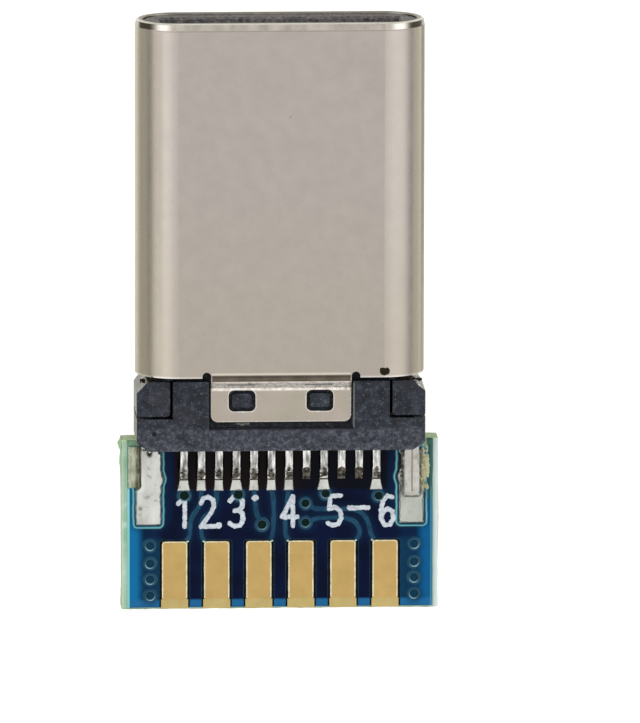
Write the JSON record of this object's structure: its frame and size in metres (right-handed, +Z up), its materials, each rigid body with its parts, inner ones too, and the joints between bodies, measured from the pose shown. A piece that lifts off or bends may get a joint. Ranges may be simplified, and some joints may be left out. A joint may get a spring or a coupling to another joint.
{
  "type": "reversible data plug on a breakout board",
  "caption": "Reversible oblong data plug soldered astride a small breakout board with wire pads along its rear edge.",
  "frame": {"origin": "middle of the bounding box's bottom: on the surface that the shell's lower face rests on, midway along and across", "axes": "+Y out of the plug's nose, +X along the contact row to the right in the picture, +Z up out of the face that the picture shows"},
  "size_m": [0.009, 0.017, 0.0024],
  "materials": {
    "shell_steel": "satin drawn stainless steel",
    "plate_steel": "satin stamped stainless steel",
    "black_moulding": "matt dark glass-filled moulding",
    "laminate": "pale green glass laminate",
    "blue_mask": "glossy dark blue coating",
    "tinned_copper": "tinned copper",
    "solder": "bright grey solder",
    "gold_plate": "gold plate"
  },
  "bodies": {
    "root": {"shell": "shell_steel", "front_insulator": "black_moulding", "upper_terminal_holder": "black_moulding", "lower_terminal_holder": "black_moulding", "latch_plate": "plate_steel", "upper_ground_spring": "plate_steel", "lower_ground_spring": "plate_steel", "board": "laminate", "upper_solder_mask": "blue_mask", "lower_solder_mask": "blue_mask", "upper_contact_pads": "tinned_copper", "lower_contact_pads": "tinned_copper", "upper_shield_pads": "tinned_copper", "lower_shield_pads": "tinned_copper", "upper_shield_solder": "solder", "lower_shield_solder": "solder", "contact_a01": "gold_plate", "contact_a02": "gold_plate", "contact_a03": "gold_plate", "contact_a04": "gold_plate", "contact_a05": "gold_plate", "contact_a06": "gold_plate", "contact_a07": "gold_plate", "contact_a08": "gold_plate", "contact_a09": "gold_plate", "contact_a10": "gold_plate", "contact_a11": "gold_plate", "contact_a12": "gold_plate", "contact_b01": "gold_plate", "contact_b02": "gold_plate", "contact_b03": "gold_plate", "contact_b04": "gold_plate", "contact_b05": "gold_plate", "contact_b08": "gold_plate", "contact_b09": "gold_plate", "contact_b10": "gold_plate", "contact_b11": "gold_plate", "contact_b12": "gold_plate", "upper_wire_pad_1": "gold_plate", "upper_wire_pad_2": "gold_plate", "upper_wire_pad_3": "gold_plate", "upper_wire_pad_4": "gold_plate", "upper_wire_pad_5": "gold_plate", "upper_wire_pad_6": "gold_plate", "lower_wire_pad_1": "gold_plate", "lower_wire_pad_2": "gold_plate", "lower_wire_pad_3": "gold_plate", "lower_wire_pad_4": "gold_plate", "lower_wire_pad_5": "gold_plate", "lower_wire_pad_6": "gold_plate"}
  },
  "joints": []
}
